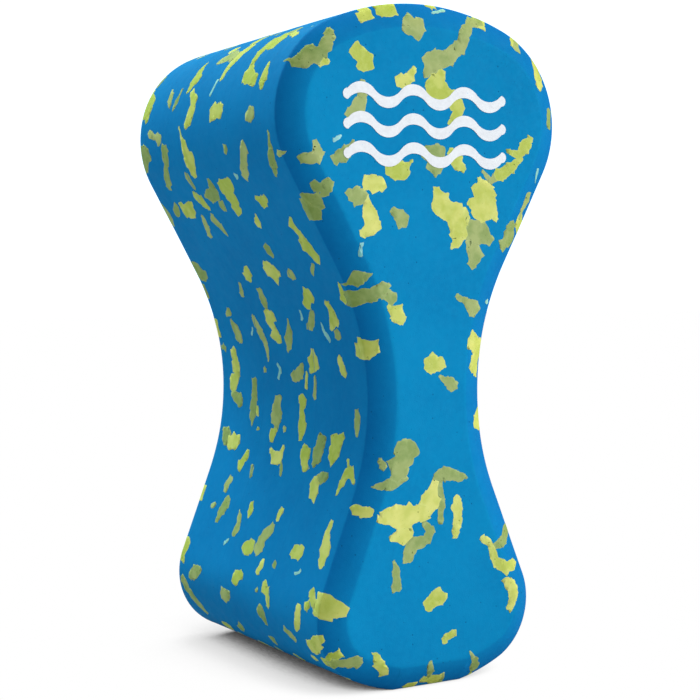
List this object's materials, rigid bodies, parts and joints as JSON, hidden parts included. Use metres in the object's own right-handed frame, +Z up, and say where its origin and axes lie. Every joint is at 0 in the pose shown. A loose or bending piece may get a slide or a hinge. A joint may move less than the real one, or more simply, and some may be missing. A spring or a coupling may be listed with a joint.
{
  "type": "pull buoy",
  "caption": "Hourglass-shaped foam pull buoy, bevelled on both flat faces, with bonded slabs, pressed-in foam granules and a printed wave mark.",
  "frame": {"origin": "middle of the flat base strip of the small lobe, on the surface that the buoy stands on", "axes": "+X across the width, -Y out of the printed face, +Y out of the plain face, +Z up from the small lobe to the large lobe"},
  "size_m": [0.115, 0.1268, 0.24],
  "materials": {
    "blue_foam": "matte closed-cell EVA foam, cut skin",
    "lime_foam": "matte EVA foam granule, bright lime",
    "olive_foam": "matte EVA foam granule, dull olive",
    "pale_foam": "matte EVA foam sliver, pale",
    "glue": "thin flexible contact adhesive, tinted by the foam",
    "white_ink": "matte screen-printed ink"
  },
  "bodies": {
    "root": {"front_slab": "blue_foam", "middle_slab": "blue_foam", "rear_slab": "blue_foam", "front_glue_film": "glue", "rear_glue_film": "glue", "front_slab_lime_chips": "lime_foam", "middle_slab_lime_chips": "lime_foam", "rear_slab_lime_chips": "lime_foam", "front_slab_olive_chips": "olive_foam", "middle_slab_olive_chips": "olive_foam", "rear_slab_olive_chips": "olive_foam", "front_slab_pale_chips": "pale_foam", "middle_slab_pale_chips": "pale_foam", "rear_slab_pale_chips": "pale_foam", "wave_print": "white_ink"}
  },
  "joints": []
}
